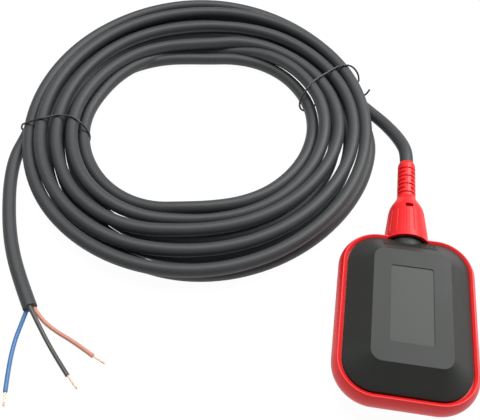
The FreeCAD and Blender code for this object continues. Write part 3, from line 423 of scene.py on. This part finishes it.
def grained(name, colour, grains, cloud, rough, spread, strength, metallic=0.0,
            specular=0.5):
    """A moulded or cast finish: grain in its colour, gloss and surface."""
    material, nodes, links, shader = new_material(name)
    grain = nodes.new("ShaderNodeGroup")
    grain.node_tree = moulded_grain()
    grain.inputs["Colour"].default_value = (*colour, 1)
    grain.inputs["Grains per metre"].default_value = grains
    grain.inputs["Cloudiness"].default_value = cloud
    grain.inputs["Roughness"].default_value = rough
    grain.inputs["Roughness spread"].default_value = spread
    links.new(grain.outputs["Colour"], shader.inputs["Base Color"])
    links.new(grain.outputs["Roughness"], shader.inputs["Roughness"])
    shader.inputs["Metallic"].default_value = metallic
    shader.inputs["Specular IOR Level"].default_value = specular
    add_bump(nodes, links, shader, grain.outputs["Height"], strength)
    return material


def sheathed(name, colour, grains, cloud, rough, lines_round, stretch, glint_place, glint_lighter):
    """An extruded sheath: grain, drawn lines along it and a painted glint, a paler line along its
    seam.
    """
    material = grained(name, colour, grains, cloud, rough, 0.12, 0.25)
    nodes, links = material.node_tree.nodes, material.node_tree.links
    shader = nodes["Principled BSDF"]
    lines = nodes.new("ShaderNodeGroup")
    lines.node_tree = sheath_lines()
    lines.inputs["Lines round"].default_value = lines_round
    lines.inputs["Stretch"].default_value = stretch
    lines.inputs["Seam place"].default_value = glint_place
    lines.inputs["Seam width"].default_value = GLINT_WIDTH
    grain = next(n for n in nodes if n.type == "GROUP" and n.node_tree.name == "Moulded grain")
    # Painted glint: the seam line takes a paler colour, a painted highlight.
    painted_glint = math_node(nodes, links, "MULTIPLY", lines.outputs["Seam"], GLINT_SHARE)
    mix = nodes.new("ShaderNodeMix")
    mix.data_type = "RGBA"
    links.new(painted_glint, mix.inputs["Factor"])
    links.new(grain.outputs["Colour"], mix.inputs["A"])
    mix.inputs["B"].default_value = (*(min(1, c * glint_lighter) for c in colour), 1)
    links.new(mix.outputs["Result"], shader.inputs["Base Color"])
    bump = next(n for n in nodes if n.type == "BUMP")
    height = math_node(nodes, links, "MULTIPLY_ADD", lines.outputs["Lines"], LINES_HEIGHT)
    links.new(grain.outputs["Height"], height.node.inputs[2])
    links.new(height, bump.inputs["Height"])
    return material


# ---- Operators ----

CAMERA_PLACE = (-0.0688, -0.1848, 0.3706)
CAMERA_LENS = 49.5
CAMERA_SENSOR = 36
CAMERA_DOWN = 54.23         # degrees below level
CAMERA_TURN = 8.77          # degrees
FLOOR_REACH = 3.0
FLOOR_DROP = 0.0003         # keeps the floor clear of what lies on it
FLOOR_GLOW = 1.04
FLOOR_GLOW_SHARE = 0.93     # the rest of what is seen takes shadows
LIGHTS_AIM = (-0.12, 0.08, 0)
LIGHTS = (                  # name, place, width, share of the key light's power
    ("key", (0.55, 0.75, 1.05), 0.9, 1),
    ("top", (-0.35, 0.45, 1.25), 0.8, 0.55),
)

class FLOATSWITCH_OT_stage(bpy.types.Operator):
    """Set the camera, the pale floor and the soft lights"""
    bl_idname = "float_switch.stage"
    bl_label = "Studio"

    def execute(self, context):
        place_camera()
        lay_floor(settings().float_stage)
        light_world(settings().float_stage)
        hang_lights(settings().float_stage)
        settings().view_settings.view_transform = "Standard"
        return {"FINISHED"}


def place_camera():
    data = bpy.data.cameras.new("Camera")
    data.lens = CAMERA_LENS
    data.sensor_width = CAMERA_SENSOR
    data.clip_start = 0.01
    camera = link(bpy.data.objects.new("Camera", data))
    camera.location = CAMERA_PLACE
    camera.rotation_euler = Euler((math.radians(90 - CAMERA_DOWN), 0,
                                   math.radians(CAMERA_TURN)))
    settings().camera = camera


def ray_share(nodes, links, names):
    """1 for the named kinds of ray and 0 for the others."""
    path = nodes.new("ShaderNodeLightPath")
    total = path.outputs[names[0]]
    for name in names[1:]:
        total = math_node(nodes, links, "MAXIMUM", total, path.outputs[name])
    return total


def lay_floor(stage):
    mesh = bpy.data.meshes.new("floor")
    size = FLOOR_REACH
    mesh.from_pydata([(-size, -size, 0), (size, -size, 0), (size, size, 0), (-size, size, 0)],
                     [], [(0, 1, 2, 3)])
    floor = link(bpy.data.objects.new("floor", mesh))
    floor.location = (0, 0, -FLOOR_DROP)
    material, nodes, links, shader = new_material("floor paper")
    shader.inputs["Base Color"].default_value = (*stage.floor, 1)
    shader.inputs["Roughness"].default_value = 0.9
    shader.inputs["Specular IOR Level"].default_value = 0.1
    glow = nodes.new("ShaderNodeEmission")
    glow.inputs["Color"].default_value = (1, 1, 1, 1)
    glow.inputs["Strength"].default_value = FLOOR_GLOW
    mix = nodes.new("ShaderNodeMixShader")
    seen = ray_share(nodes, links, ["Is Camera Ray", "Is Glossy Ray", "Is Transmission Ray"])
    links.new(math_node(nodes, links, "MULTIPLY", seen, FLOOR_GLOW_SHARE), mix.inputs["Fac"])
    links.new(shader.outputs[0], mix.inputs[1])
    links.new(glow.outputs[0], mix.inputs[2])
    links.new(mix.outputs[0], nodes["Material Output"].inputs["Surface"])
    mesh.materials.append(material)


def light_world(stage):
    world = bpy.data.worlds.new("studio")
    world.use_nodes = True
    nodes, links = world.node_tree.nodes, world.node_tree.links
    ground = nodes["Background"]
    ground.inputs["Color"].default_value = (1, 1, 1, 1)
    ground.inputs["Strength"].default_value = stage.fill
    backdrop = nodes.new("ShaderNodeBackground")
    backdrop.inputs["Color"].default_value = (1, 1, 1, 1)
    backdrop.inputs["Strength"].default_value = 1
    mix = nodes.new("ShaderNodeMixShader")
    links.new(ray_share(nodes, links, ["Is Camera Ray", "Is Transmission Ray"]), mix.inputs["Fac"])
    links.new(ground.outputs[0], mix.inputs[1])
    links.new(backdrop.outputs[0], mix.inputs[2])
    links.new(mix.outputs[0], nodes["World Output"].inputs["Surface"])
    settings().world = world


def area_light(name, place, target, size, power):
    data = bpy.data.lights.new(name, "AREA")
    data.shape = "DISK"
    data.size = size
    data.energy = power
    light = link(bpy.data.objects.new(name, data))
    light.location = place
    light.rotation_euler = (Vector(target) - Vector(place)).to_track_quat("-Z", "Y").to_euler()


def hang_lights(stage):
    for name, place, size, share in LIGHTS:
        area_light(name, place, LIGHTS_AIM, size, stage.key * share)


class FLOATSWITCH_OT_cable(bpy.types.Operator):
    """Lay the cable: out of the nut, round the tied coil and to its free end"""
    bl_idname = "float_switch.cable"
    bl_label = "Cable"

    def execute(self, context):
        sizes, colours = settings().float_sizes, settings().float_colours
        rubber = sheathed("cable rubber", colours.sheath, 2600, 0.5, 0.52, 26, 900, 0.45, 3.2)
        points = list(LEAD_COURSE) + coil_points() + list(TAIL_COURSE)
        cable = round_lines("cable", [points], sizes.cable, rubber, CORD_STEPS, around=8)
        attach(cable, BODY)
        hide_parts("cable_lead", "cable_coil", "cable_tail")
        ties = [tie_wire(side) for side in TIE_COURSES]
        return {"FINISHED"}


def tie_wire(side):
    """A thin tie round the whole coil."""
    sizes, colours = settings().float_sizes, settings().float_colours
    material = bpy.data.materials.get("tie wire") or grained(
        "tie wire", colours.tie, 4000, 0.3, 0.35, 0.1, 0.2, specular=0.7)
    courses = [[coil_place(*point) for point in course] for course in TIE_COURSES[side]]
    wire = round_lines("tie_" + side, courses, sizes.tie, material, WIRE_STEPS, around=3)
    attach(wire, BODY)
    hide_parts("coil_tie_" + side)
    return wire


class FLOATSWITCH_OT_cores(bpy.types.Operator):
    """Lay the three bared cores and the twisted copper at their ends"""
    bl_idname = "float_switch.cores"
    bl_label = "Cores"

    def execute(self, context):
        sizes, colours = settings().float_sizes, settings().float_colours
        copper = grained("bare copper", colours.copper, 5000, 0.5, 0.34, 0.2, 0.2, metallic=0.85)
        for colour, course in CORE_COURSES.items():
            finish = sheathed(colour + " insulation", getattr(colours, colour), 3000, 0.35, 0.38,
                              12, 30, 0.4, 1.5)
            core = round_lines("core_wire_" + colour, [course], sizes.core, finish,
                               CORD_STEPS, around=6)
            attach(core, BODY)
            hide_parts("core_" + colour)
            bundle = copper_bundle(colour, course[-2], course[-1], copper)
        return {"FINISHED"}


def copper_bundle(colour, before, start, material):
    """Fine wires that twist round each other and part a little at their ends."""
    sizes = settings().float_sizes
    wire = sizes.copper / MM
    draw = random.Random(colour)
    first, last = Vector(start), Vector(COPPER_TIPS[colour])
    inside = first + (Vector(before) - first).normalized() * COPPER_SUNK
    way = (last - first).normalized()
    side = way.cross(Vector((0, 0, 1))).normalized()
    up = side.cross(way)
    wires = []
    for ring, count in COPPER_RINGS:
        for i in range(count):
            phase = 2 * math.pi * i / count + ring
            reach = draw.uniform(*COPPER_REACH)
            points = [tuple(inside + side * math.cos(phase) * ring * wire * COPPER_ROOT
                            + up * math.sin(phase) * ring * wire * COPPER_ROOT)]
            for step in range(COPPER_STEPS + 1):
                share = step / COPPER_STEPS * reach
                turn = phase + share * COPPER_TWIST
                spread = ring * wire * (COPPER_SPREAD + COPPER_FLARE * share ** 3)
                loose = (Vector([draw.uniform(-1, 1) for _ in range(3)])
                         * COPPER_LOOSE * share ** 2)
                point = (first + (last - first) * share + side * math.cos(turn) * spread
                         + up * math.sin(turn) * spread + loose)
                point.z = max(point.z, wire / 2)
                points.append(tuple(point))
            wires.append(points)
    bundle = round_lines("copper_" + colour, wires, sizes.copper, material, WIRE_STEPS,
                         around=2)
    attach(bundle, BODY)
    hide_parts("strands_" + colour)
    return bundle


class FLOATSWITCH_OT_outer_finishes(bpy.types.Operator):
    """Give the shells, frame, gland and nut their moulded finishes"""
    bl_idname = "float_switch.outer_finishes"
    bl_label = "Shells and frame"

    def execute(self, context):
        colours = settings().float_colours
        shell = grained("black moulded shell", colours.shell, 2400, 0.5, 0.46, 0.25, 0.35,
                        specular=0.3)
        # The paler label recess is a painted sheen.
        paint_recess_sheen(shell)
        red = grained("red moulded frame", colours.red, 1700, 0.16, 0.40, 0.2, 0.12)
        give_finish("shell_plastic", shell)
        give_finish("red_plastic", red)
        return {"FINISHED"}


def box_mask(nodes, links, middle, half):
    """1 inside an upright box of the part's own space and 0 outside, in metres."""
    place = nodes.new("ShaderNodeTexCoord")
    from_middle = nodes.new("ShaderNodeVectorMath")
    from_middle.operation = "SUBTRACT"
    links.new(place.outputs["Object"], from_middle.inputs[0])
    from_middle.inputs[1].default_value = middle
    parts = nodes.new("ShaderNodeSeparateXYZ")
    links.new(from_middle.outputs[0], parts.inputs[0])
    mask = None
    for axis, reach in zip("XYZ", half):
        away = math_node(nodes, links, "ABSOLUTE", parts.outputs[axis], 0)
        inside = math_node(nodes, links, "LESS_THAN", away, reach)
        mask = inside if mask is None else math_node(nodes, links, "MULTIPLY", mask, inside)
    return mask


def paint_recess_sheen(material):
    """The label recess's floor takes a paler colour than the shell round it, a painted sheen."""
    nodes, links = material.node_tree.nodes, material.node_tree.links
    shader = nodes["Principled BSDF"]
    grain = next(n for n in nodes if n.type == "GROUP")
    mask = box_mask(nodes, links, RECESS_MIDDLE, RECESS_HALF)
    # Painted sheen: the recess's colour is scaled up inside the box.
    pale = math_node(nodes, links, "MULTIPLY_ADD", mask, RECESS_PAINTED_SHEEN)
    pale.node.inputs[2].default_value = 1.0
    tint = nodes.new("ShaderNodeVectorMath")
    tint.operation = "SCALE"
    links.new(grain.outputs["Colour"], tint.inputs[0])
    links.new(pale, tint.inputs["Scale"])
    links.new(tint.outputs[0], shader.inputs["Base Color"])


def give_finish(slot, material):
    """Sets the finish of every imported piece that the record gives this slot."""
    for piece in frame["record"]["subparts"]:
        if piece["material_slot"] == slot:
            for place in frame["nodes"][piece["node"]].material_slots:
                place.material = material


class FLOATSWITCH_OT_inner_finishes(bpy.types.Operator):
    """Give the capsule, microswitch, wires and metal pieces their finishes"""
    bl_idname = "float_switch.inner_finishes"
    bl_label = "Works inside"

    def execute(self, context):
        colours = settings().float_colours
        for slot, (name, colour, *surface), metallic in (
            ("capsule_plastic",
             ("capsule plastic", (0.72, 0.72, 0.68), 1500, 0.15, 0.5, 0.15, 0.2), 0.0),
            ("switch_plastic",
             ("switch case", (0.028, 0.028, 0.030), 2200, 0.4, 0.42, 0.2, 0.3), 0.0),
            ("plunger_plastic",
             ("plunger", (0.52, 0.06, 0.05), 2000, 0.2, 0.4, 0.15, 0.2), 0.0),
            ("steel", ("steel", (0.60, 0.60, 0.61), 3500, 0.25, 0.26, 0.2, 0.1), 1.0),
            ("brass", ("brass", (0.75, 0.56, 0.25), 3500, 0.25, 0.28, 0.2, 0.1), 1.0),
            ("seal_rubber",
             ("seal rubber", (0.020, 0.020, 0.021), 2600, 0.4, 0.6, 0.15, 0.35), 0.0),
            ("cable_rubber", ("inner sheath", colours.sheath, 2600, 0.4, 0.52, 0.15, 0.3), 0.0),
            ("core_blue", ("inner blue wire", colours.blue, 3000, 0.3, 0.4, 0.1, 0.2), 0.0),
            ("core_black", ("inner black wire", colours.black, 3000, 0.3, 0.4, 0.1, 0.2), 0.0),
            ("core_brown", ("inner brown wire", colours.brown, 3000, 0.3, 0.4, 0.1, 0.2), 0.0),
        ):
            give_finish(slot, grained(name, colour, *surface, metallic=metallic))
        return {"FINISHED"}


class FLOATSWITCH_PT_panel(bpy.types.Panel):
    bl_idname = "FLOATSWITCH_PT_panel"
    bl_label = "Float Level Switch"
    bl_space_type = "VIEW_3D"
    bl_region_type = "UI"
    bl_category = "Float Switch"

    def draw(self, context):
        layout = self.layout
        for heading, group in (("Sizes", context.scene.float_sizes),
                               ("Colours", context.scene.float_colours),
                               ("Studio", context.scene.float_stage)):
            layout.label(text=heading)
            for name in group.__annotations__:
                layout.prop(group, name)
        layout.label(text="Build")
        for operator in OPERATORS:
            layout.operator(operator.bl_idname)


GROUPS = (FloatSwitchSizes, FloatSwitchColours, FloatSwitchStage)
OPERATORS = (
    FLOATSWITCH_OT_stage,
    FLOATSWITCH_OT_cable,
    FLOATSWITCH_OT_cores,
    FLOATSWITCH_OT_outer_finishes,
    FLOATSWITCH_OT_inner_finishes,
)


def register():
    for cls in GROUPS + OPERATORS + (FLOATSWITCH_PT_panel,):
        bpy.utils.register_class(cls)
    bpy.types.Scene.float_sizes = PointerProperty(type=FloatSwitchSizes)
    bpy.types.Scene.float_colours = PointerProperty(type=FloatSwitchColours)
    bpy.types.Scene.float_stage = PointerProperty(type=FloatSwitchStage)


def unregister():
    for name in ("float_stage", "float_colours", "float_sizes"):
        delattr(bpy.types.Scene, name)
    for cls in reversed(GROUPS + OPERATORS + (FLOATSWITCH_PT_panel,)):
        bpy.utils.unregister_class(cls)


def main():
    register()
    for call in (bpy.ops.float_switch.stage, bpy.ops.float_switch.cable,
                 bpy.ops.float_switch.cores, bpy.ops.float_switch.outer_finishes,
                 bpy.ops.float_switch.inner_finishes):
        call()


if __name__ == "__main__":
    main()
